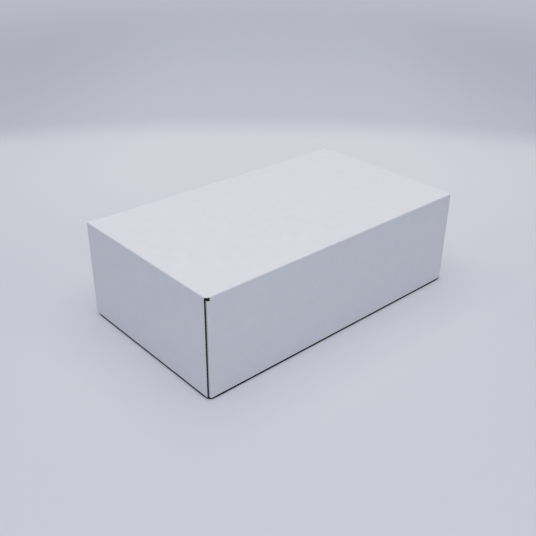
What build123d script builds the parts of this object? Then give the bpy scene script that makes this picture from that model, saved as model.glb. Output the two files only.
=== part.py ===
from build123d import *
import math
import os

# Pastry box folded from one sheet of white E-flute board. A tray and a lid share the fold along the top of
# the back wall, where the lid swings. The box stands closed on z = 0, centred on the origin, with its long
# front wall towards -Y.

# Outside of the closed box
length = 280.0
depth = 160.0
height = 88.0

# Board, the outer radius of a crease, whose inside is pressed sharp, and the rounder inside of the back fold
board = 1.5
crease_radius = 1.2
fold_inside = 0.3

# Room between lid and tray, under the lid's walls, and between the two halves of the back fold
slide_clearance = 0.5
table_gap = 1.6
crease_gap = 0.2

# Glue flaps behind the end walls: their reach, and how much each long edge tapers over it
flap_reach = 24.0
flap_taper = 4.0

# An end wall stops this far past the corner fold beside it, so its cut edge shows as an upright seam
seam_gap = 1.0

# Where creases cross at a corner, a slot reaches this far past the corner crease and past the panel's crease
slot_side = 0.7
slot_drop = 1.8

# Round cut of the lid's end walls, low at the back
corner_radius = 4.0

# Faces and fold ends that follow from these sizes
half_length = length / 2
front = -depth / 2
back = depth / 2
seam_setback = crease_radius + seam_gap
notch = crease_radius + slot_drop

lid_flap_face = half_length - board
lid_slot = lid_flap_face - crease_radius - slot_side

tray_half = lid_flap_face - board - slide_clearance
tray_front = front + board + slide_clearance
tray_top = height - board - slide_clearance
tray_flap_face = tray_half - board
tray_slot = tray_flap_face - crease_radius - slot_side

# The back fold turns about a line where its outer liner keeps its length as it opens
hinge_radius = board + fold_inside
hinge_inset = hinge_radius * (1 - math.pi / 4)
half_fold = 45 - math.degrees(crease_gap / 2 / hinge_radius)


def folded(plane, *corners):
    """Section of the board, creased at each corner of its outer line, with the inside on the left."""
    with BuildSketch(plane) as section:
        with BuildLine():
            Polyline(*corners)
            offset(amount=board, side=Side.LEFT)
        make_face()
        creases = [section.vertices().sort_by_distance(corner)[0] for corner in corners[1:-1]]
        fillet(creases, radius=crease_radius)
    return section.sketch


def panel_edge(plane, corner, outward, upward):
    """Section of a panel's edge beside a slot, which cuts the crease through half way round."""
    wall, face = corner
    start = wall - outward * crease_radius
    root = wall - outward * seam_setback
    inner_face = face - upward * board
    with BuildSketch(plane) as section:
        with BuildLine():
            middle = (start, face - upward * crease_radius)
            lip = CenterArc(middle, crease_radius, 90 * upward, -45 * upward * outward)
            Polyline(lip @ 1, (start, inner_face), (root, inner_face), (root, face), lip @ 0)
        make_face()
    return section.sketch


def back_fold(start_angle):
    """Section of one half of the fold along the top of the back wall."""
    centre = (back - hinge_radius, height - hinge_radius)
    with BuildSketch(Plane.YZ) as section:
        with BuildLine():
            outer = CenterArc(centre, hinge_radius, start_angle, half_fold)
            inner = CenterArc(centre, fold_inside, start_angle, half_fold)
            Line(outer @ 0, inner @ 0)
            Line(outer @ 1, inner @ 1)
        make_face()
    return section.sketch


def flap_trim(fold_line, free_end, low, high):
    """The two wedges that taper a glue flap from its fold line to its free end."""
    with BuildSketch(Plane.YZ) as wedges:
        Polygon((fold_line, low), (free_end, low), (free_end, low + flap_taper), align=None)
        Polygon((fold_line, high), (free_end, high), (free_end, high - flap_taper), align=None)
    return wedges.sketch


# Base tray
with BuildPart() as base_tray:
    # Front wall, with a flap folded back at each end
    front_flap_end = tray_front + flap_reach
    front_wall = folded(
        Plane.XY.offset(notch),
        (-tray_flap_face, front_flap_end),
        (-tray_flap_face, tray_front),
        (tray_flap_face, tray_front),
        (tray_flap_face, front_flap_end),
    )
    extrude(front_wall, amount=tray_top - notch)

    # Back wall, with a flap folded forward at each end
    back_flap_end = back - flap_reach
    back_flap_top = height - notch
    back_wall = folded(
        Plane.XY.offset(notch),
        (tray_flap_face, back_flap_end),
        (tray_flap_face, back),
        (-tray_flap_face, back),
        (-tray_flap_face, back_flap_end),
    )
    extrude(back_wall, amount=back_flap_top - notch)

    front_trim = flap_trim(tray_front + crease_radius, front_flap_end, notch, tray_top)
    extrude(front_trim, amount=tray_half, both=True, mode=Mode.SUBTRACT)
    back_trim = flap_trim(back - crease_radius, back_flap_end, notch, back_flap_top)
    extrude(back_trim, amount=tray_half, both=True, mode=Mode.SUBTRACT)

    # Floor between the front and back walls, up to the back fold
    floor_and_long_walls = folded(
        Plane.YZ,
        (tray_front, tray_top),
        (tray_front, 0),
        (back, 0),
        (back, height - hinge_radius),
    )
    extrude(floor_and_long_walls, amount=tray_slot, both=True)
    extrude(back_fold(start_angle=0), amount=tray_slot, both=True)

    # Floor between the end walls
    floor_and_end_walls = folded(
        Plane.XZ.offset(-tray_front - seam_setback),
        (-tray_half, tray_top),
        (-tray_half, 0),
        (tray_half, 0),
        (tray_half, tray_top),
    )
    extrude(floor_and_end_walls, amount=tray_front + 2 * seam_setback - back)

    # Corners of the floor at the slots
    tray_lip = tray_half - crease_radius - tray_slot
    for wall, outward in ((tray_front, -1), (back, 1)):
        seam = Plane.XZ.offset(outward * seam_setback - wall)
        for end in (-1, 1):
            slot = Plane.YZ.offset(end * tray_slot)
            extrude(panel_edge(slot, (wall, 0), outward, -1), amount=end * tray_lip)
            extrude(panel_edge(seam, (end * tray_half, 0), end, -1), amount=-outward * seam_gap)

# Lid
with BuildPart() as lid:
    # Front wall, with a flap folded back at each end
    lid_flap_end = front + flap_reach
    lid_front = folded(
        Plane.XY.offset(table_gap),
        (-lid_flap_face, lid_flap_end),
        (-lid_flap_face, front),
        (lid_flap_face, front),
        (lid_flap_face, lid_flap_end),
    )
    extrude(lid_front, amount=height - notch - table_gap)
    lid_trim = flap_trim(front + crease_radius, lid_flap_end, table_gap, height - notch)
    extrude(lid_trim, amount=half_length, both=True, mode=Mode.SUBTRACT)

    # Top between the end walls, which reach back past the tray's back wall
    top_and_end_walls = folded(
        Plane.XZ.offset(-front - seam_setback),
        (half_length, table_gap),
        (half_length, height),
        (-half_length, height),
        (-half_length, table_gap),
    )
    extrude(top_and_end_walls, amount=front + seam_setback - back)
    low_back_edges = lid.edges().filter_by(Axis.X).group_by(Axis.Y)[-1].group_by(Axis.Z)[0]
    fillet(low_back_edges, radius=corner_radius)

    # The lid's half of the back fold, let into the back edge of the top
    with BuildSketch(Plane.XY.offset(height)):
        with Locations((0, back)):
            Rectangle(2 * tray_slot, 2 * hinge_radius)
    extrude(amount=-board, mode=Mode.SUBTRACT)
    extrude(back_fold(start_angle=90 - half_fold), amount=tray_slot, both=True)

    # Top folded down into the front wall
    top_and_front = folded(Plane.YZ, (back - hinge_radius, height), (front, height), (front, table_gap))
    extrude(top_and_front, amount=lid_slot, both=True)

    # Corners of the top at the slots
    lid_lip = half_length - crease_radius - lid_slot
    seam = Plane.XZ.offset(-front - seam_setback)
    for end in (-1, 1):
        slot = Plane.YZ.offset(end * lid_slot)
        extrude(panel_edge(slot, (front, height), -1, 1), amount=end * lid_lip)
        extrude(panel_edge(seam, (end * half_length, height), end, 1), amount=seam_gap)

base_tray.part.label = "base_tray"
lid.part.label = "lid"

os.makedirs("parts", exist_ok=True)
export_step(base_tray.part, "parts/base_tray.step")
export_step(lid.part, "parts/lid.step")

print(f"hinge line: y {back - hinge_inset:.3f} mm, z {height - hinge_inset:.3f} mm")
print(f"tray inside: x {tray_flap_face - board:.3f}, y {tray_front + board:.3f} to {back - board:.3f} mm")
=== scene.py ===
"""Looks of the pastry box: its board in liners and fluting, the back fold, the stage, lights and camera."""

import math
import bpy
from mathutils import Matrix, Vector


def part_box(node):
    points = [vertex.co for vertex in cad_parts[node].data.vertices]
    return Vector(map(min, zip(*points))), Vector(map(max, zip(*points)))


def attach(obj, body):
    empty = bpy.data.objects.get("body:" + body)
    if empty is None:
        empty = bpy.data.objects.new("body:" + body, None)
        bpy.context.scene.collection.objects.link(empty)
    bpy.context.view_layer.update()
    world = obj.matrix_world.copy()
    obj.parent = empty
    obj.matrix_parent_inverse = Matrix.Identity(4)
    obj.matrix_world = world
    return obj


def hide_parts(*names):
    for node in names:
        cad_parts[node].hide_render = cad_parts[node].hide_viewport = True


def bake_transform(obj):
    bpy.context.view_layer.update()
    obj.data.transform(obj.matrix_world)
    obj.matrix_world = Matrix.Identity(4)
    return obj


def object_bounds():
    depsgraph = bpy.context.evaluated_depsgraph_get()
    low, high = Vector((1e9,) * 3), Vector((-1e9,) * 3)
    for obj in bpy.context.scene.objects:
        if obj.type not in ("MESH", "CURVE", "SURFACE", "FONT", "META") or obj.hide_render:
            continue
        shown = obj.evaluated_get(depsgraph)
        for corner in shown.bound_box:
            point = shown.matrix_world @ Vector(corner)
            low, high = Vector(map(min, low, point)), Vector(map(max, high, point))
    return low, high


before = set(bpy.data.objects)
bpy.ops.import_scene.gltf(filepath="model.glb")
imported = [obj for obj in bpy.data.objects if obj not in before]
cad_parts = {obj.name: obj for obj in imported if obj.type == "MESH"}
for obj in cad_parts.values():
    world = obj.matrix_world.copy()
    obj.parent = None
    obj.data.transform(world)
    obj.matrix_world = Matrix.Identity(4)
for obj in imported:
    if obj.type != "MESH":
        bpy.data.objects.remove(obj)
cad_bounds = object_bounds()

from types import SimpleNamespace

import bmesh
import bpy
from bpy.props import FloatProperty, FloatVectorProperty, PointerProperty
from bpy.types import Operator, Panel, PropertyGroup
from mathutils import Quaternion, Vector

bl_info = {
    "name": "Pastry Box",
    "version": (1, 0, 0),
    "blender": (4, 5, 0),
    "location": "View3D > Sidebar > Pastry Box",
    "description": "Builds a folded pastry box's board on its packed frame, and a stage to picture it on",
    "category": "Object",
}

MM = 0.001

# Lengths that differ by less than this are the same
TOUCH = 0.001 * MM

# Fluting stops this far short of the panel's ends
HELD_BACK = 0.15 * MM

# Flat steps in a quarter bend, and in one wave of the fluting
FOLD_STEPS = 8
STEPS_PER_FLUTE = 8

# A face belongs to the side that its normal points to by more than this share
FACING = 0.75

# Edges that turn by more than this stay sharp
SHARP_TURN = math.radians(35)

lid_low, lid_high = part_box("lid")
tray_low, tray_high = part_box("base_tray")


def linear(code):
    """An sRGB hex colour as linear red, green and blue."""
    shares = [int(code[i : i + 2], 16) / 255 for i in (1, 3, 5)]
    return tuple(c / 12.92 if c <= 0.04045 else ((c + 0.055) / 1.055) ** 2.4 for c in shares)


class PastryBoxBoard(PropertyGroup):
    """Sizes of the board and of its cuts and folds."""

    thickness: FloatProperty(
        name="Board", description="Thickness of the whole board", default=1.5 * MM, unit="LENGTH"
    )
    liner: FloatProperty(
        name="Liner", description="Thickness of each flat outer paper", default=0.25 * MM, unit="LENGTH"
    )
    medium: FloatProperty(
        name="Fluting", description="Thickness of the waved paper", default=0.18 * MM, unit="LENGTH"
    )
    pitch: FloatProperty(
        name="Flute Pitch", description="From one wave to the next", default=3.2 * MM, unit="LENGTH"
    )
    crease_radius: FloatProperty(
        name="Crease Radius", description="Outer radius of a crease", default=1.2 * MM, unit="LENGTH"
    )
    crease_inside: FloatProperty(
        name="Crease Inside", description="Radius left inside a crease", default=0.1 * MM, unit="LENGTH"
    )
    fold_inside: FloatProperty(
        name="Fold Inside", description="Inside radius of the back fold", default=0.3 * MM, unit="LENGTH"
    )
    seam_gap: FloatProperty(
        name="Seam Gap", description="How far an end wall stops past the corner crease",
        default=1.0 * MM, unit="LENGTH",
    )
    slot_side: FloatProperty(
        name="Slot Side", description="How far a slot reaches past the corner crease",
        default=0.7 * MM, unit="LENGTH",
    )
    slot_drop: FloatProperty(
        name="Slot Drop", description="How far a slot reaches past the panel's crease",
        default=1.8 * MM, unit="LENGTH",
    )
    flap_reach: FloatProperty(
        name="Flap Reach", description="Reach of a glue flap from the corner",
        default=24 * MM, unit="LENGTH",
    )
    flap_taper: FloatProperty(
        name="Flap Taper", description="How much each long edge of a flap slopes",
        default=4 * MM, unit="LENGTH",
    )
    corner_radius: FloatProperty(
        name="Corner Radius", description="Round cut of the lid's end walls, low at the back",
        default=4 * MM, unit="LENGTH",
    )


class PastryBoxColours(PropertyGroup):
    """Colours of the papers, the stage and the lights."""

    outer_liner: FloatVectorProperty(
        name="Outer Liner", description="Coated white paper outside",
        default=linear("#E8E6E7"), subtype="COLOR",
    )
    inner_liner: FloatVectorProperty(
        name="Inner Liner", description="Plain white paper inside",
        default=linear("#E2E1E2"), subtype="COLOR",
    )
    core: FloatVectorProperty(
        name="Liner Core", description="Grey pulp at the liners' cut edges",
        default=linear("#5A5A5B"), subtype="COLOR",
    )
    # Partly painted shade: the grey fluting is drawn darker than it is, for the shade in the corner seam's
    # gap
    fluting: FloatVectorProperty(
        name="Fluting", description="Grey recycled paper of the waves",
        default=linear("#343332"), subtype="COLOR",
    )
    floor: FloatVectorProperty(
        name="Floor", description="Floor in front of the box and beside it",
        default=linear("#D9D8DC"), subtype="COLOR",
    )
    # Painted light: the floor is drawn paler close to the box, to take back some of its soft shadow
    painted_light_near_box: FloatVectorProperty(
        name="Floor Near", description="Floor close to the box",
        default=linear("#E3E2E7"), subtype="COLOR",
    )
    # Painted shade: the floor is drawn near black in the narrow gaps under the lid's walls
    painted_gap_shade: FloatVectorProperty(
        name="Floor Under", description="Floor in narrow gaps",
        default=linear("#141415"), subtype="COLOR",
    )
    # Painted light: the floor is drawn paler behind the box
    painted_light_behind: FloatVectorProperty(
        name="Floor Behind", description="Floor behind the box",
        default=linear("#E9E6E7"), subtype="COLOR",
    )
    # Painted shade: the floor is drawn darker where a backdrop would sweep up, and darker still off to the
    # sides
    backdrop: FloatVectorProperty(
        name="Backdrop", description="Floor where it would sweep up",
        default=linear("#D5D5DA"), subtype="COLOR",
    )
    backdrop_side: FloatVectorProperty(
        name="Backdrop Side", description="The same, off to the sides",
        default=linear("#CACACF"), subtype="COLOR",
    )
    distance: FloatVectorProperty(
        name="Distance", description="What is seen far out",
        default=linear("#B9BBC7"), subtype="COLOR",
    )
    lamp_light: FloatVectorProperty(
        name="Lamp Light", description="Colour of the softbox above",
        default=linear("#FFF8F0"), subtype="COLOR",
    )
    fill_light: FloatVectorProperty(
        name="Fill Light", description="Colour of the front softbox",
        default=linear("#F4FAFF"), subtype="COLOR",
    )
    room_light: FloatVectorProperty(
        name="Room Light", description="Colour of the light from all round",
        default=linear("#C2D9FF"), subtype="COLOR",
    )


class PastryBoxStage(PropertyGroup):
    """Sizes and places of the floor, the lights and the camera."""

    floor_radius: FloatProperty(
        name="Floor Radius", description="Radius of the floor", default=4.0, unit="LENGTH"
    )
    floor_drop: FloatProperty(
        name="Floor Drop", description="How far the floor lies below the box", default=0.05 * MM,
        unit="LENGTH",
    )
    lamp_power: FloatProperty(
        name="Lamp Power", description="Power of the softbox above", default=53.0, unit="POWER"
    )
    lamp_size: FloatProperty(
        name="Lamp Size", description="Side of the softbox above", default=3.2, unit="LENGTH"
    )
    lamp_height: FloatProperty(
        name="Lamp Height", description="From the floor to the softbox above", default=2.4, unit="LENGTH"
    )
    fill_power: FloatProperty(
        name="Fill Power", description="Power of the front softbox", default=1.94, unit="POWER"
    )
    fill_size: FloatProperty(
        name="Fill Size", description="Side of the front softbox", default=0.7, unit="LENGTH"
    )
    fill_place: FloatVectorProperty(
        name="Fill Place", description="Where the front softbox hangs",
        default=(-0.85, -0.95, 0.75), subtype="TRANSLATION",
    )
    ambient: FloatProperty(
        name="Ambient", description="Strength of the light from all round", default=0.36
    )
    camera_place: FloatVectorProperty(
        name="Camera Place", description="Where the camera stands",
        default=(-0.39211, -0.42186, 0.34575), subtype="TRANSLATION",
    )
    azimuth: FloatProperty(
        name="Azimuth", description="Turn of the camera round the box",
        default=math.radians(-42.089), subtype="ANGLE",
    )
    elevation: FloatProperty(
        name="Elevation", description="Tilt of the camera above the horizon",
        default=math.radians(28.906), subtype="ANGLE",
    )
    roll: FloatProperty(
        name="Roll", description="Turn of the picture about its middle",
        default=math.radians(0.629), subtype="ANGLE",
    )
    sensor: FloatProperty(name="Sensor", description="Width of the sensor", default=36.0, unit="CAMERA")
    lens: FloatProperty(name="Lens", description="Focal length", default=48.986, unit="CAMERA")


def sheet_lines():
    """The crease lines, faces and ends of the folded sheet, from the CAD boxes and the board's sizes."""
    board = bpy.context.scene.pastry_board
    sheet = SimpleNamespace()
    sheet.board = board.thickness
    sheet.liner = board.liner
    sheet.medium = board.medium
    sheet.pitch = board.pitch
    sheet.crease_radius = board.crease_radius
    sheet.crease_inside = board.crease_inside
    sheet.hinge_radius = board.thickness + board.fold_inside
    sheet.flap_reach = board.flap_reach
    sheet.flap_taper = board.flap_taper
    sheet.corner_radius = board.corner_radius
    sheet.setback = board.crease_radius + board.seam_gap
    sheet.notch = board.crease_radius + board.slot_drop

    sheet.half = lid_high.x
    sheet.front = lid_low.y
    sheet.back = lid_high.y
    sheet.height = lid_high.z
    sheet.lid_foot = lid_low.z
    sheet.lid_slot = sheet.half - sheet.board - sheet.crease_radius - board.slot_side

    sheet.tray_half = tray_high.x
    sheet.tray_front = tray_low.y
    slide_clearance = sheet.half - sheet.tray_half - 2 * sheet.board
    sheet.tray_top = sheet.height - sheet.board - slide_clearance
    sheet.tray_slot = sheet.tray_half - sheet.board - sheet.crease_radius - board.slot_side
    return sheet


def crease_line(sheet, depth):
    """How far the flat panels stop from a crease's outer corner, this deep in the board."""
    return max(sheet.crease_radius, depth + sheet.crease_inside)


def near(a, b):
    """True if two lengths are the same."""
    return abs(a - b) < TOUCH


def edges_where(edges, test):
    """Those edges whose two ends both pass a test of their place."""
    found = [e for e in edges if all(test(v.co) for v in e.verts)]
    if not found:
        raise RuntimeError("The sheet has no edge at the place where its next fold starts")
    return found


def fold(bm, edges, centre, axis, degrees):
    """Bends the sheet on from these edges round a line, and returns the edges where the bend ends."""
    verts = {v for e in edges for v in e.verts}
    steps = round(FOLD_STEPS * abs(degrees) / 90)
    bent = bmesh.ops.spin(
        bm, geom=[*edges, *verts], cent=centre, axis=axis, angle=math.radians(degrees), steps=steps
    )
    return [g for g in bent["geom_last"] if isinstance(g, bmesh.types.BMEdge)]


def run_on(bm, edges, way):
    """Carries the sheet on flat from these edges, and returns the edges where it ends."""
    grown = bmesh.ops.extrude_edge_only(bm, edges=edges)["geom"]
    ends = {g for g in grown if isinstance(g, bmesh.types.BMVert)}
    bmesh.ops.translate(bm, verts=list(ends), vec=way)
    return [g for g in grown if isinstance(g, bmesh.types.BMEdge) and set(g.verts) <= ends]


def crease(bm, edges, centre, axis, degrees, goes_on):
    """Folds a panel's edge all the way where goes_on is true, and half of that beside the slots."""
    lip = fold(bm, edges, centre, axis, degrees / 2)
    return fold(bm, edges_where(lip, goes_on), centre, axis, degrees / 2)


def long_wall(bm, sheet, depth, half, slot, wall, inward, panel, rise, end):
    """A front or back wall with its glue flap, creased from the panel at this height.

    inward is 1 or -1 along Y, rise is 1 or -1 along Z, and end is the height of the wall's cut edge.
    """
    line = crease_line(sheet, depth)
    notch = panel + rise * sheet.notch
    fold_y = wall + inward * line
    edges = edges_where(bm.edges, lambda p: near(p.y, fold_y) and near(p.z, panel + rise * depth))
    centre = (0, fold_y, panel + rise * line)
    upper = crease(bm, edges, centre, (1, 0, 0), -90 * inward * rise, lambda p: p.x < slot + TOUCH)
    upper = run_on(bm, upper, (0, 0, rise * (sheet.notch - line)))
    run_on(bm, upper, (0, 0, end - notch))

    # Past the slot the wall is wider, as far as its corner crease
    face_y = wall + inward * depth
    side = edges_where(
        bm.edges, lambda p: near(p.x, slot) and near(p.y, face_y) and rise * (p.z - notch) > -TOUCH
    )
    side = run_on(bm, side, (half - sheet.board - line - slot, 0, 0))
    side = fold(bm, side, (half - sheet.board - line, fold_y, 0), (0, 0, 1), 90 * inward)
    free = run_on(bm, side, (0, inward * (sheet.flap_reach - line), 0))
    for vert in {v for e in free for v in e.verts}:
        vert.co.z += sheet.flap_taper * (1 if vert.co.z < (notch + end) / 2 else -1)


def end_wall(bm, sheet, depth, half, panel, rise, end, first, last):
    """An end wall creased from the panel at this height, with its cut edges at first and last along Y.

    rise is 1 or -1 along Z, and end is the height of the wall's third cut edge.
    """
    line = crease_line(sheet, depth)
    fold_x = half - line
    edges = edges_where(bm.edges, lambda p: near(p.x, fold_x) and near(p.z, panel + rise * depth))
    centre = (fold_x, 0, panel + rise * line)
    wall = crease(bm, edges, centre, (0, 1, 0), -90 * rise, lambda p: first - TOUCH < p.y < last + TOUCH)
    run_on(bm, wall, (0, 0, end - panel - rise * line))


def lid_sheet(bm, sheet, depth):
    """The right half of one face of the lid's board, this deep below its outer side."""
    line = crease_line(sheet, depth)
    outline = (
        (0, sheet.front + line),
        (sheet.lid_slot, sheet.front + line),
        (sheet.half - line, sheet.front + line),
        (sheet.half - line, sheet.front + sheet.setback),
        (sheet.half - line, sheet.back),
        (sheet.tray_slot, sheet.back),
        (sheet.tray_slot, sheet.back - sheet.notch),
        (0, sheet.back - sheet.notch),
    )
    bm.faces.new([bm.verts.new((x, y, sheet.height - depth)) for x, y in outline])
    long_wall(
        bm, sheet, depth, sheet.half, sheet.lid_slot,
        wall=sheet.front, inward=1, panel=sheet.height, rise=-1, end=sheet.lid_foot,
    )
    end_wall(
        bm, sheet, depth, sheet.half,
        panel=sheet.height, rise=-1, end=sheet.lid_foot, first=sheet.front + sheet.setback, last=sheet.back,
    )

    # Round corner of the end wall, low at the back
    corner = [v for v in bm.verts if near(v.co.y, sheet.back) and near(v.co.z, sheet.lid_foot)]
    bmesh.ops.bevel(
        bm, geom=corner, offset=sheet.corner_radius, offset_type="OFFSET", segments=FOLD_STEPS, profile=0.5,
        affect="VERTICES", material=-1,
    )


def tray_sheet(bm, sheet, depth):
    """The right half of one face of the tray's board, this deep inside its outer side."""
    line = crease_line(sheet, depth)
    outline = (
        (0, sheet.tray_front + line),
        (sheet.tray_slot, sheet.tray_front + line),
        (sheet.tray_half - line, sheet.tray_front + line),
        (sheet.tray_half - line, sheet.tray_front + sheet.setback),
        (sheet.tray_half - line, sheet.back - sheet.setback),
        (sheet.tray_half - line, sheet.back - line),
        (sheet.tray_slot, sheet.back - line),
        (0, sheet.back - line),
    )
    bm.faces.new([bm.verts.new((x, y, depth)) for x, y in reversed(outline)])
    long_wall(
        bm, sheet, depth, sheet.tray_half, sheet.tray_slot,
        wall=sheet.tray_front, inward=1, panel=0, rise=1, end=sheet.tray_top,
    )
    long_wall(
        bm, sheet, depth, sheet.tray_half, sheet.tray_slot,
        wall=sheet.back, inward=-1, panel=0, rise=1, end=sheet.height - sheet.notch,
    )
    end_wall(
        bm, sheet, depth, sheet.tray_half,
        panel=0, rise=1, end=sheet.tray_top,
        first=sheet.tray_front + sheet.setback, last=sheet.back - sheet.setback,
    )


def mirrored(bm):
    """Completes a piece from its right half."""
    bmesh.ops.mirror(bm, geom=[*bm.verts, *bm.edges, *bm.faces], axis="X", merge_dist=TOUCH)


def face_out(bm, inside_point, outward):
    """Makes the normals of an open sheet agree, away from a point within the box or towards it."""
    bmesh.ops.recalc_face_normals(bm, faces=bm.faces)
    widest = max(bm.faces, key=lambda f: f.calc_area())
    points_out = widest.normal.dot(widest.calc_center_median() - inside_point) > 0
    if points_out != outward:
        bmesh.ops.reverse_faces(bm, faces=bm.faces)


def flute_map(bm):
    """Lays a UV map that runs across the flutes in u and along them in v, in metres."""
    layer = bm.loops.layers.uv.new("Flutes")
    for face in bm.faces:
        for loop in face.loops:
            p = loop.vert.co
            if abs(face.normal.x) > FACING:
                across, along = p.z, p.y
            elif abs(face.normal.y) > FACING:
                across, along = p.x, p.z
            else:
                across, along = p.x, p.y
            loop[layer].uv = (across, along)


def new_piece(name, bm, materials):
    """Turns a bmesh into an object of the scene with these materials."""
    mesh = bpy.data.meshes.new(name)
    bm.to_mesh(mesh)
    bm.free()
    for material in materials:
        mesh.materials.append(material)
    mesh.shade_smooth()
    mesh.set_sharp_from_angle(angle=SHARP_TURN)
    piece = bpy.data.objects.new(name, mesh)
    bpy.context.scene.collection.objects.link(piece)
    return piece


def liner_piece(name, build, sheet, depth, outward, materials):
    """One liner of the lid or the tray: a folded sheet of paper, given its thickness into the board."""
    bm = bmesh.new()
    build(bm, sheet, depth)
    mirrored(bm)
    face_out(bm, Vector((0, 0, sheet.height / 2)), outward)
    flute_map(bm)
    piece = new_piece(name, bm, materials)
    paper = piece.modifiers.new("Paper", "SOLIDIFY")
    paper.thickness = sheet.liner
    paper.offset = -1
    paper.use_even_offset = True
    paper.material_offset = 1
    paper.material_offset_rim = 1
    flat = piece.modifiers.new("Flat Panels", "WEIGHTED_NORMAL")
    flat.keep_sharp = True
    return piece


def fluted(bm, sheet, corner, across, along, outward, cuts=()):
    """Waved paper over one panel, from its corner, with one side across the flutes and one along them.

    Each of the cuts is a plane's place and normal, and trims the paper.
    """
    corner, across, along, outward = (Vector(v) for v in (corner, across, along, outward))
    wave = sheet.board / 2 - sheet.liner - sheet.medium / 2
    reach = along.length - 2 * HELD_BACK
    steps = round(across.length / sheet.pitch * STEPS_PER_FLUTE)
    grid = bmesh.ops.create_grid(bm, x_segments=steps, y_segments=1, size=0.5)["verts"]
    for vert in grid:
        share = vert.co.x + 0.5
        height = wave * math.sin(2 * math.pi * share * across.length / sheet.pitch)
        run = HELD_BACK + (vert.co.y + 0.5) * reach
        vert.co = corner + share * across + run * along.normalized() + height * outward
    faces = {f for v in grid for f in v.link_faces}
    on_plane = TOUCH / 10
    for place, normal in cuts:
        edges = {e for f in faces for e in f.edges}
        verts = {v for f in faces for v in f.verts}
        bmesh.ops.bisect_plane(
            bm, geom=[*verts, *edges, *faces], dist=on_plane,
            plane_co=place, plane_no=normal, clear_outer=True,
        )
        faces = {f for f in faces if f.is_valid}


def corner_cuts(sheet):
    """Planes that trim an end wall's fluting to the round corner, low at the back."""
    centre = Vector((0, sheet.back - sheet.corner_radius, sheet.lid_foot + sheet.corner_radius))
    # Three planes stand for the quarter round, a little inside it
    reach = 0.93 * sheet.corner_radius
    cuts = []
    for degrees in (15, 45, 75):
        angle = math.radians(degrees)
        out = Vector((0, math.cos(angle), -math.sin(angle)))
        cuts.append((centre + reach * out, out))
    return cuts


def taper_cuts(sheet, fold_y, inward, low, high):
    """Planes that trim a flap's fluting to its two sloping edges. inward is 1 or -1 along Y."""
    run = sheet.flap_reach - crease_line(sheet, sheet.board)
    lower = Vector((0, inward * sheet.flap_taper, -run)).normalized()
    upper = Vector((0, inward * sheet.flap_taper, run)).normalized()
    return [
        (Vector((0, fold_y, low)) - HELD_BACK * lower, lower),
        (Vector((0, fold_y, high)) - HELD_BACK * upper, upper),
    ]


def fluting_piece(name, bm, sheet):
    """The waved paper of the lid or the tray, from its wave surfaces."""
    bmesh.ops.recalc_face_normals(bm, faces=bm.faces)
    piece = new_piece(name, bm, [fluting_paper()])
    paper = piece.modifiers.new("Paper", "SOLIDIFY")
    paper.thickness = sheet.medium
    paper.offset = 0
    return piece


def node(tree, kind, inputs=None, **settings):
    """Adds a shader node with its settings, and sets or links its inputs by name or number."""
    made = tree.nodes.new(kind)
    for name, value in settings.items():
        setattr(made, name, value)
    for name, value in (inputs or {}).items():
        if isinstance(value, bpy.types.NodeSocket):
            tree.links.new(value, made.inputs[name])
        else:
            made.inputs[name].default_value = value
    return made


def new_material(name):
    """An empty material with a Principled shader on its output."""
    material = bpy.data.materials.new(name)
    material.use_nodes = True
    tree = material.node_tree
    tree.nodes.clear()
    shader = node(tree, "ShaderNodeBsdfPrincipled")
    node(tree, "ShaderNodeOutputMaterial", {"Surface": shader.outputs["BSDF"]})
    return material, tree, shader


def shade(colour, factor):
    """A linear colour made lighter or darker."""
    return (*(min(c * factor, 1.0) for c in colour), 1.0)


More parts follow.
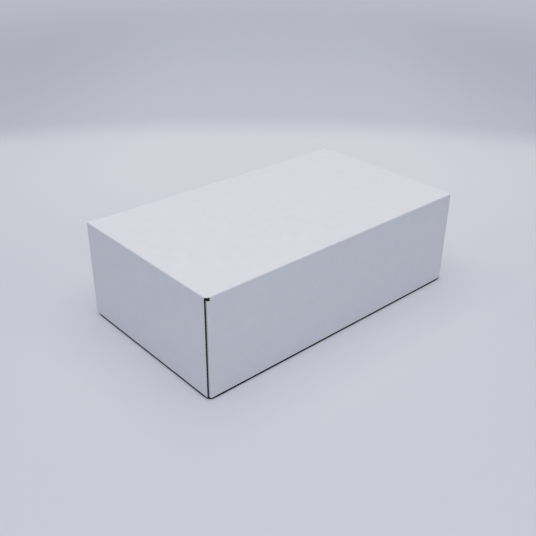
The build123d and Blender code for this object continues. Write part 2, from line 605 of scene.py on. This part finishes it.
def liner_paper(name, colour, roughness, washboard):
    """White paper glued over flutes, which show through it as waves of this height."""
    if name in bpy.data.materials:
        return bpy.data.materials[name]
    material, tree, shader = new_material(name)
    shader.inputs["Roughness"].default_value = roughness
    shader.inputs["Specular IOR Level"].default_value = 0.3
    place = node(tree, "ShaderNodeTexCoord").outputs["Object"]

    # Pulp: faint clouds, a little lighter and darker than the paper's colour
    cloud_size = 9 * MM
    cloud_change = 0.035
    cloud = node(
        tree, "ShaderNodeTexNoise",
        {"Vector": place, "Scale": 1 / cloud_size, "Detail": 3.0, "Roughness": 0.6},
    )
    pulp = node(
        tree, "ShaderNodeMix",
        {0: cloud.outputs["Fac"], 6: shade(colour, 1 - cloud_change), 7: shade(colour, 1 + cloud_change)},
        data_type="RGBA",
    )
    tree.links.new(pulp.outputs[2], shader.inputs["Base Color"])

    # Washboard: one low wave per flute, uneven from flute to flute and drawn out along the flutes
    uneven_size = 14 * MM
    drawn_out = (1.0, 0.12, 1.0)
    flutes = node(tree, "ShaderNodeUVMap", uv_map="Flutes").outputs["UV"]
    across = node(tree, "ShaderNodeSeparateXYZ", {"Vector": flutes}).outputs["X"]
    radians_per_metre = 2 * math.pi / bpy.context.scene.pastry_board.pitch
    angle = node(tree, "ShaderNodeMath", {0: across, 1: radians_per_metre}, operation="MULTIPLY")
    wave = node(tree, "ShaderNodeMath", {0: angle.outputs[0]}, operation="SINE")
    stretched = node(tree, "ShaderNodeMapping", {"Vector": flutes, "Scale": drawn_out})
    uneven = node(
        tree, "ShaderNodeTexNoise",
        {"Vector": stretched.outputs["Vector"], "Scale": 1 / uneven_size, "Detail": 2.0, "Roughness": 0.6},
    )
    ridge = node(
        tree, "ShaderNodeMath", {0: wave.outputs[0], 1: uneven.outputs["Fac"]}, operation="MULTIPLY"
    )
    ridges = node(
        tree, "ShaderNodeBump", {"Height": ridge.outputs[0], "Distance": washboard, "Strength": 1.0}
    )

    # Cockle: the sheet isn't quite flat between its glue lines, which mottles the upright walls
    dip_size = 8 * MM
    dip_depth = 0.25 * MM
    dips = node(
        tree, "ShaderNodeTexNoise",
        {"Vector": place, "Scale": 1 / dip_size, "Detail": 2.0, "Roughness": 0.6},
    )
    cockle = node(
        tree, "ShaderNodeBump",
        {
            "Height": dips.outputs["Fac"], "Distance": dip_depth, "Strength": 1.0,
            "Normal": ridges.outputs["Normal"],
        },
    )

    # Fibres: drawn coarser than life, so that they hold in the picture
    fibre_size = 0.5 * MM
    fibre_depth = 0.02 * MM
    fibres = node(tree, "ShaderNodeTexNoise", {"Vector": place, "Scale": 1 / fibre_size, "Detail": 2.0})
    fuzz = node(
        tree, "ShaderNodeBump",
        {
            "Height": fibres.outputs["Fac"], "Distance": fibre_depth, "Strength": 0.4,
            "Normal": cockle.outputs["Normal"],
        },
    )
    tree.links.new(fuzz.outputs["Normal"], shader.inputs["Normal"])
    return material


def outer_paper():
    """Coated white liner of the outside."""
    # The smooth pale skin that the eye takes for the whole box
    colour = bpy.context.scene.pastry_colours.outer_liner
    return liner_paper("coated white liner", colour, roughness=0.55, washboard=0.02 * MM)


def inner_paper():
    """Uncoated white liner of the inside."""
    # A little duller and rougher than the outside, seen when the lid is open
    colour = bpy.context.scene.pastry_colours.inner_liner
    return liner_paper("uncoated white liner", colour, roughness=0.75, washboard=0.03 * MM)


def rough_paper(name, colour, fleck_size):
    """Grey recycled paper with flecks of this size."""
    if name in bpy.data.materials:
        return bpy.data.materials[name]
    material, tree, shader = new_material(name)
    shader.inputs["Roughness"].default_value = 0.9
    shader.inputs["Specular IOR Level"].default_value = 0.2
    place = node(tree, "ShaderNodeTexCoord").outputs["Object"]
    fleck_change = 0.2
    fleck = node(tree, "ShaderNodeTexNoise", {"Vector": place, "Scale": 1 / fleck_size, "Detail": 3.0})
    pulp = node(
        tree, "ShaderNodeMix",
        {0: fleck.outputs["Fac"], 6: shade(colour, 1 - fleck_change), 7: shade(colour, 1 + fleck_change)},
        data_type="RGBA",
    )
    tree.links.new(pulp.outputs[2], shader.inputs["Base Color"])
    return material


def core_paper():
    """Grey pulp within the liners."""
    # The thin dark line of every cut edge
    return rough_paper("grey liner core", bpy.context.scene.pastry_colours.core, 0.8 * MM)


def fluting_paper():
    """Grey recycled fluting."""
    # The dark waves between the liners, seen in the cut edges: grey recycled paper, painted darker than it
    # is, so that the cut edges also carry the shade in the corner seam's gap
    return rough_paper("grey recycled fluting", bpy.context.scene.pastry_colours.fluting, 1.0 * MM)


def seen_rays(tree):
    """1 for the rays that show the background: the camera's, and those that shine off or pass through."""
    rays = node(tree, "ShaderNodeLightPath").outputs
    other = node(
        tree, "ShaderNodeMath", {0: rays["Is Glossy Ray"], 1: rays["Is Transmission Ray"]},
        operation="MAXIMUM",
    )
    seen = node(
        tree, "ShaderNodeMath", {0: rays["Is Camera Ray"], 1: other.outputs[0]}, operation="MAXIMUM"
    )
    return seen.outputs[0]


def floor_paper():
    """Matte studio paper under and behind the box."""
    # A pale ground with painted light and shade: painted paler behind the box, then painted darker where a
    # backdrop would sweep up away from the lamp, darker still to the sides, with no horizon far out
    colours = bpy.context.scene.pastry_colours
    azimuth = bpy.context.scene.pastry_stage.azimuth
    material, tree, shader = new_material("matte studio paper")
    shader.inputs["Roughness"].default_value = 0.95
    shader.inputs["Specular IOR Level"].default_value = 0.1

    # Where a point lies: behind the box, aside of it, past the curved line of the sweep, and how far out
    sweep_curve = 0.4
    place = node(tree, "ShaderNodeTexCoord").outputs["Object"]
    ahead = (-math.sin(azimuth), math.cos(azimuth), 0)
    across = (math.cos(azimuth), math.sin(azimuth), 0)
    behind, sideways = (
        node(tree, "ShaderNodeVectorMath", {0: place, 1: way}, operation="DOT_PRODUCT").outputs["Value"]
        for way in (ahead, across)
    )
    aside = node(tree, "ShaderNodeMath", {0: sideways}, operation="ABSOLUTE").outputs[0]
    squared = node(tree, "ShaderNodeMath", {0: aside, 1: aside}, operation="MULTIPLY").outputs[0]
    curved = node(
        tree, "ShaderNodeMath", {0: squared, 1: sweep_curve, 2: behind}, operation="MULTIPLY_ADD"
    ).outputs[0]
    away = node(tree, "ShaderNodeVectorMath", {0: place}, operation="LENGTH").outputs["Value"]

    # How open a point is to the room, close to the box and in narrow gaps
    near_reach = 70 * MM
    gap_reach = 6.5 * MM
    near_open, gap_open = (
        node(tree, "ShaderNodeAmbientOcclusion", {"Distance": reach}, samples=16).outputs["AO"]
        for reach in (near_reach, gap_reach)
    )

    # Each zone's measure, where the zone starts and ends, and its share at the two
    zones = {
        "beside": (near_open, 1.0, 0.5, 0.0, 1.0),
        "further_back": (behind, -50 * MM, 350 * MM, 0.0, 1.0),
        "in_the_middle": (aside, 140 * MM, 360 * MM, 1.0, 0.6),
        "painted_sweep_shade": (curved, 430 * MM, 560 * MM, 0.0, 1.0),
        "off_to_the_side": (aside, 150 * MM, 500 * MM, 0.0, 1.0),
        "in_a_gap": (gap_open, 0.57, 0.45, 0.0, 1.0),
        "far_out": (away, 800 * MM, 1800 * MM, 0.0, 1.0),
    }
    share = {}
    for zone, (measure, start, end, first, last) in zones.items():
        step = node(
            tree, "ShaderNodeMapRange",
            {"Value": measure, "From Min": start, "From Max": end, "To Min": first, "To Max": last},
            interpolation_type="SMOOTHSTEP",
        )
        share[zone] = step.outputs["Result"]
    # Painted light behind the box, fading off to the sides
    palest = node(
        tree, "ShaderNodeMath", {0: share["further_back"], 1: share["in_the_middle"]}, operation="MULTIPLY"
    )
    # Painted shade of a backdrop that would sweep up, darker off to the sides
    backdrop = node(
        tree, "ShaderNodeMix",
        {0: share["off_to_the_side"], 6: (*colours.backdrop, 1.0), 7: (*colours.backdrop_side, 1.0)},
        data_type="RGBA",
    )

    # Painted light close to the box, which takes back some of its soft shadow, and painted shade in the
    # narrow gaps under its walls
    tone = (*colours.floor, 1.0)
    for amount, colour in (
        (share["beside"], (*colours.painted_light_near_box, 1.0)),
        (palest.outputs[0], (*colours.painted_light_behind, 1.0)),
        (share["painted_sweep_shade"], backdrop.outputs[2]),
        (share["in_a_gap"], (*colours.painted_gap_shade, 1.0)),
    ):
        tone = node(tree, "ShaderNodeMix", {0: amount, 6: tone, 7: colour}, data_type="RGBA").outputs[2]
    tree.links.new(tone, shader.inputs["Base Color"])

    # Far out, the rays that show the background see one even tone
    seen_far = node(
        tree, "ShaderNodeMath", {0: share["far_out"], 1: seen_rays(tree)}, operation="MULTIPLY"
    )
    haze = node(tree, "ShaderNodeEmission", {"Color": (*colours.distance, 1.0)})
    both = node(
        tree, "ShaderNodeMixShader",
        {0: seen_far.outputs[0], 1: shader.outputs["BSDF"], 2: haze.outputs["Emission"]},
    )
    output = next(n for n in tree.nodes if n.type == "OUTPUT_MATERIAL")
    tree.links.new(both.outputs["Shader"], output.inputs["Surface"])
    return material


def softbox(name, place, size, power, colour):
    """Hangs a square soft light that faces the middle of the closed box."""
    lamp = bpy.data.lights.new(name, "AREA")
    lamp.shape = "SQUARE"
    lamp.size = size
    lamp.energy = power
    lamp.color = colour
    hung = bpy.data.objects.new(name, lamp)
    hung.location = place
    hung.rotation_mode = "QUATERNION"
    box_middle = (cad_bounds[0] + cad_bounds[1]) / 2
    hung.rotation_quaternion = (box_middle - Vector(place)).to_track_quat("-Z", "Y")
    bpy.context.scene.collection.objects.link(hung)


def light_room(scene):
    """Lights the scene from all round, and gives the rays that show the background one even tone."""
    colours = scene.pastry_colours
    world = bpy.data.worlds.new("studio")
    scene.world = world
    world.use_nodes = True
    tree = world.node_tree
    tree.nodes.clear()
    room = node(
        tree, "ShaderNodeBackground",
        {"Color": (*colours.room_light, 1.0), "Strength": scene.pastry_stage.ambient},
    )
    seen = node(tree, "ShaderNodeBackground", {"Color": (*colours.distance, 1.0)})
    both = node(
        tree, "ShaderNodeMixShader",
        {0: seen_rays(tree), 1: room.outputs["Background"], 2: seen.outputs["Background"]},
    )
    node(tree, "ShaderNodeOutputWorld", {"Surface": both.outputs["Shader"]})


def place_camera(scene):
    """Stands the camera at the photograph's viewing angle."""
    stage = scene.pastry_stage
    lens = bpy.data.cameras.new("camera")
    lens.sensor_width = stage.sensor
    lens.lens = stage.lens
    camera = bpy.data.objects.new("camera", lens)
    level = math.cos(stage.elevation)
    ahead = Vector(
        (-math.sin(stage.azimuth) * level, math.cos(stage.azimuth) * level, -math.sin(stage.elevation))
    )
    camera.location = stage.camera_place
    camera.rotation_mode = "QUATERNION"
    camera.rotation_quaternion = ahead.to_track_quat("-Z", "Y") @ Quaternion((0, 0, 1), stage.roll)
    scene.collection.objects.link(camera)
    scene.camera = camera


class PASTRYBOX_OT_base_tray(Operator):
    """Build the tray's two liners and the fluting between them"""

    bl_idname = "pastry_box.base_tray"
    bl_label = "Base Tray"

    def execute(self, context):
        sheet = sheet_lines()
        outside = [outer_paper(), core_paper()]
        inside = [inner_paper(), core_paper()]
        outer = liner_piece("tray_outer_liner", tray_sheet, sheet, 0.0, True, outside)
        inner = liner_piece("tray_inner_liner", tray_sheet, sheet, sheet.board, False, inside)
        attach(outer, "tray")
        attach(inner, "tray")
        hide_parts("base_tray")

        middle = sheet.board / 2
        line = crease_line(sheet, sheet.board)
        bm = bmesh.new()
        # Floor
        fluted(
            bm, sheet,
            corner=(-sheet.tray_half + line, sheet.tray_front + line, middle),
            across=(2 * (sheet.tray_half - line), 0, 0),
            along=(0, sheet.back - sheet.tray_front - 2 * line, 0),
            outward=(0, 0, -1),
        )
        # Front wall and back wall
        for y, out, top in (
            (sheet.tray_front + middle, -1, sheet.tray_top),
            (sheet.back - middle, 1, sheet.height - sheet.notch),
        ):
            fluted(
                bm, sheet,
                corner=(-sheet.tray_slot, y, line),
                across=(2 * sheet.tray_slot, 0, 0),
                along=(0, 0, top - line),
                outward=(0, out, 0),
            )
        for side in (-1, 1):
            # End wall
            fluted(
                bm, sheet,
                corner=(side * (sheet.tray_half - middle), sheet.tray_front + sheet.setback, line),
                across=(0, 0, sheet.tray_top - line),
                along=(0, sheet.back - sheet.tray_front - 2 * sheet.setback, 0),
                outward=(side, 0, 0),
            )
            # Glue flaps at the front and at the back
            for fold_y, inward, top in (
                (sheet.tray_front + line, 1, sheet.tray_top),
                (sheet.back - line, -1, sheet.height - sheet.notch),
            ):
                fluted(
                    bm, sheet,
                    corner=(side * (sheet.tray_half - sheet.board - middle), fold_y, sheet.notch),
                    across=(0, inward * (sheet.flap_reach - line), 0),
                    along=(0, 0, top - sheet.notch),
                    outward=(side, 0, 0),
                    cuts=taper_cuts(sheet, fold_y, inward, sheet.notch, top),
                )
        waves = fluting_piece("tray_fluting", bm, sheet)
        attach(waves, "tray")
        return {"FINISHED"}


class PASTRYBOX_OT_lid(Operator):
    """Build the lid's two liners and the fluting between them"""

    bl_idname = "pastry_box.lid"
    bl_label = "Lid"

    def execute(self, context):
        sheet = sheet_lines()
        outside = [outer_paper(), core_paper()]
        inside = [inner_paper(), core_paper()]
        outer = liner_piece("lid_outer_liner", lid_sheet, sheet, 0.0, True, outside)
        inner = liner_piece("lid_inner_liner", lid_sheet, sheet, sheet.board, False, inside)
        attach(outer, "lid")
        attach(inner, "lid")
        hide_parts("lid")

        middle = sheet.board / 2
        line = crease_line(sheet, sheet.board)
        bm = bmesh.new()
        # Top panel
        fluted(
            bm, sheet,
            corner=(-sheet.half + line, sheet.front + line, sheet.height - middle),
            across=(2 * (sheet.half - line), 0, 0),
            along=(0, sheet.back - sheet.notch - sheet.front - line, 0),
            outward=(0, 0, 1),
        )
        # Front wall
        fluted(
            bm, sheet,
            corner=(-sheet.lid_slot, sheet.front + middle, sheet.lid_foot),
            across=(2 * sheet.lid_slot, 0, 0),
            along=(0, 0, sheet.height - line - sheet.lid_foot),
            outward=(0, -1, 0),
        )
        flap_top = sheet.height - sheet.notch
        for side in (-1, 1):
            # End wall
            fluted(
                bm, sheet,
                corner=(side * (sheet.half - middle), sheet.front + sheet.setback, sheet.lid_foot),
                across=(0, 0, sheet.height - line - sheet.lid_foot),
                along=(0, sheet.back - sheet.front - sheet.setback, 0),
                outward=(side, 0, 0),
                cuts=corner_cuts(sheet),
            )
            # Glue flap
            fluted(
                bm, sheet,
                corner=(side * (sheet.half - sheet.board - middle), sheet.front + line, sheet.lid_foot),
                across=(0, sheet.flap_reach - line, 0),
                along=(0, 0, flap_top - sheet.lid_foot),
                outward=(side, 0, 0),
                cuts=taper_cuts(sheet, sheet.front + line, 1, sheet.lid_foot, flap_top),
            )
        waves = fluting_piece("lid_fluting", bm, sheet)
        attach(waves, "lid")
        return {"FINISHED"}


class PASTRYBOX_OT_back_fold(Operator):
    """Build the fold along the top of the back wall as a fixed shape with the lid shut; the real fold bends
    as the lid swings
    """

    bl_idname = "pastry_box.back_fold"
    bl_label = "Back Fold"

    def execute(self, context):
        sheet = sheet_lines()
        flat = sheet.notch - sheet.hinge_radius
        foot = sheet.height - sheet.notch
        centre = Vector((0, sheet.back - sheet.hinge_radius, sheet.height - sheet.hinge_radius))
        bm = bmesh.new()
        ends = [bm.verts.new((x, sheet.back, foot)) for x in (-sheet.tray_slot, sheet.tray_slot)]
        edges = run_on(bm, [bm.edges.new(ends)], (0, 0, flat))
        edges = fold(bm, edges, centre, (1, 0, 0), 90)
        run_on(bm, edges, (0, -flat, 0))
        face_out(bm, Vector((0, 0, sheet.height / 2)), True)
        bmesh.ops.solidify(bm, geom=bm.faces[:], thickness=sheet.board)
        bmesh.ops.recalc_face_normals(bm, faces=bm.faces)
        flute_map(bm)

        # The outer paper is the first material, the inner one the second and the cut ends the third
        for face in bm.faces:
            from_centre = (face.calc_center_median() - centre).yz.length
            if abs(face.normal.x) > FACING:
                face.material_index = 2
            elif from_centre < sheet.hinge_radius - sheet.board / 2:
                face.material_index = 1
        strip = new_piece("back_fold", bm, [outer_paper(), inner_paper(), core_paper()])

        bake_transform(strip)
        return {"FINISHED"}


class PASTRYBOX_OT_stage(Operator):
    """Lay the floor, hang the softboxes, light the room and place the camera"""

    bl_idname = "pastry_box.stage"
    bl_label = "Stage"

    def execute(self, context):
        scene = context.scene
        stage = scene.pastry_stage
        colours = scene.pastry_colours
        bm = bmesh.new()
        bmesh.ops.create_circle(bm, cap_ends=True, segments=64, radius=stage.floor_radius)
        bmesh.ops.translate(bm, verts=bm.verts, vec=(0, 0, -stage.floor_drop))
        new_piece("studio_floor", bm, [floor_paper()])

        above = (0, 0, stage.lamp_height)
        softbox("top_softbox", above, stage.lamp_size, stage.lamp_power, colours.lamp_light)
        softbox("front_softbox", stage.fill_place, stage.fill_size, stage.fill_power, colours.fill_light)
        light_room(scene)
        place_camera(scene)
        scene.view_settings.view_transform = "Standard"
        return {"FINISHED"}


class PASTRYBOX_PT_panel(Panel):
    """Lists the pieces of the pastry box, and their sizes and colours."""

    bl_idname = "PASTRYBOX_PT_panel"
    bl_label = "Pastry Box"
    bl_space_type = "VIEW_3D"
    bl_region_type = "UI"
    bl_category = "Pastry Box"

    def draw(self, context):
        layout = self.layout
        scene = context.scene
        for operator in OPERATORS:
            layout.operator(operator.bl_idname)
        for group in (scene.pastry_board, scene.pastry_colours, scene.pastry_stage):
            column = layout.column(align=True)
            for name in group.__annotations__:
                column.prop(group, name)


OPERATORS = (PASTRYBOX_OT_base_tray, PASTRYBOX_OT_lid, PASTRYBOX_OT_back_fold, PASTRYBOX_OT_stage)
CLASSES = (PastryBoxBoard, PastryBoxColours, PastryBoxStage, *OPERATORS, PASTRYBOX_PT_panel)


def register():
    for cls in CLASSES:
        bpy.utils.register_class(cls)
    bpy.types.Scene.pastry_board = PointerProperty(type=PastryBoxBoard)
    bpy.types.Scene.pastry_colours = PointerProperty(type=PastryBoxColours)
    bpy.types.Scene.pastry_stage = PointerProperty(type=PastryBoxStage)


def unregister():
    del bpy.types.Scene.pastry_stage
    del bpy.types.Scene.pastry_colours
    del bpy.types.Scene.pastry_board
    for cls in reversed(CLASSES):
        bpy.utils.unregister_class(cls)


def main():
    register()
    bpy.ops.pastry_box.base_tray()
    bpy.ops.pastry_box.lid()
    bpy.ops.pastry_box.back_fold()
    bpy.ops.pastry_box.stage()


if __name__ == "__main__":
    main()
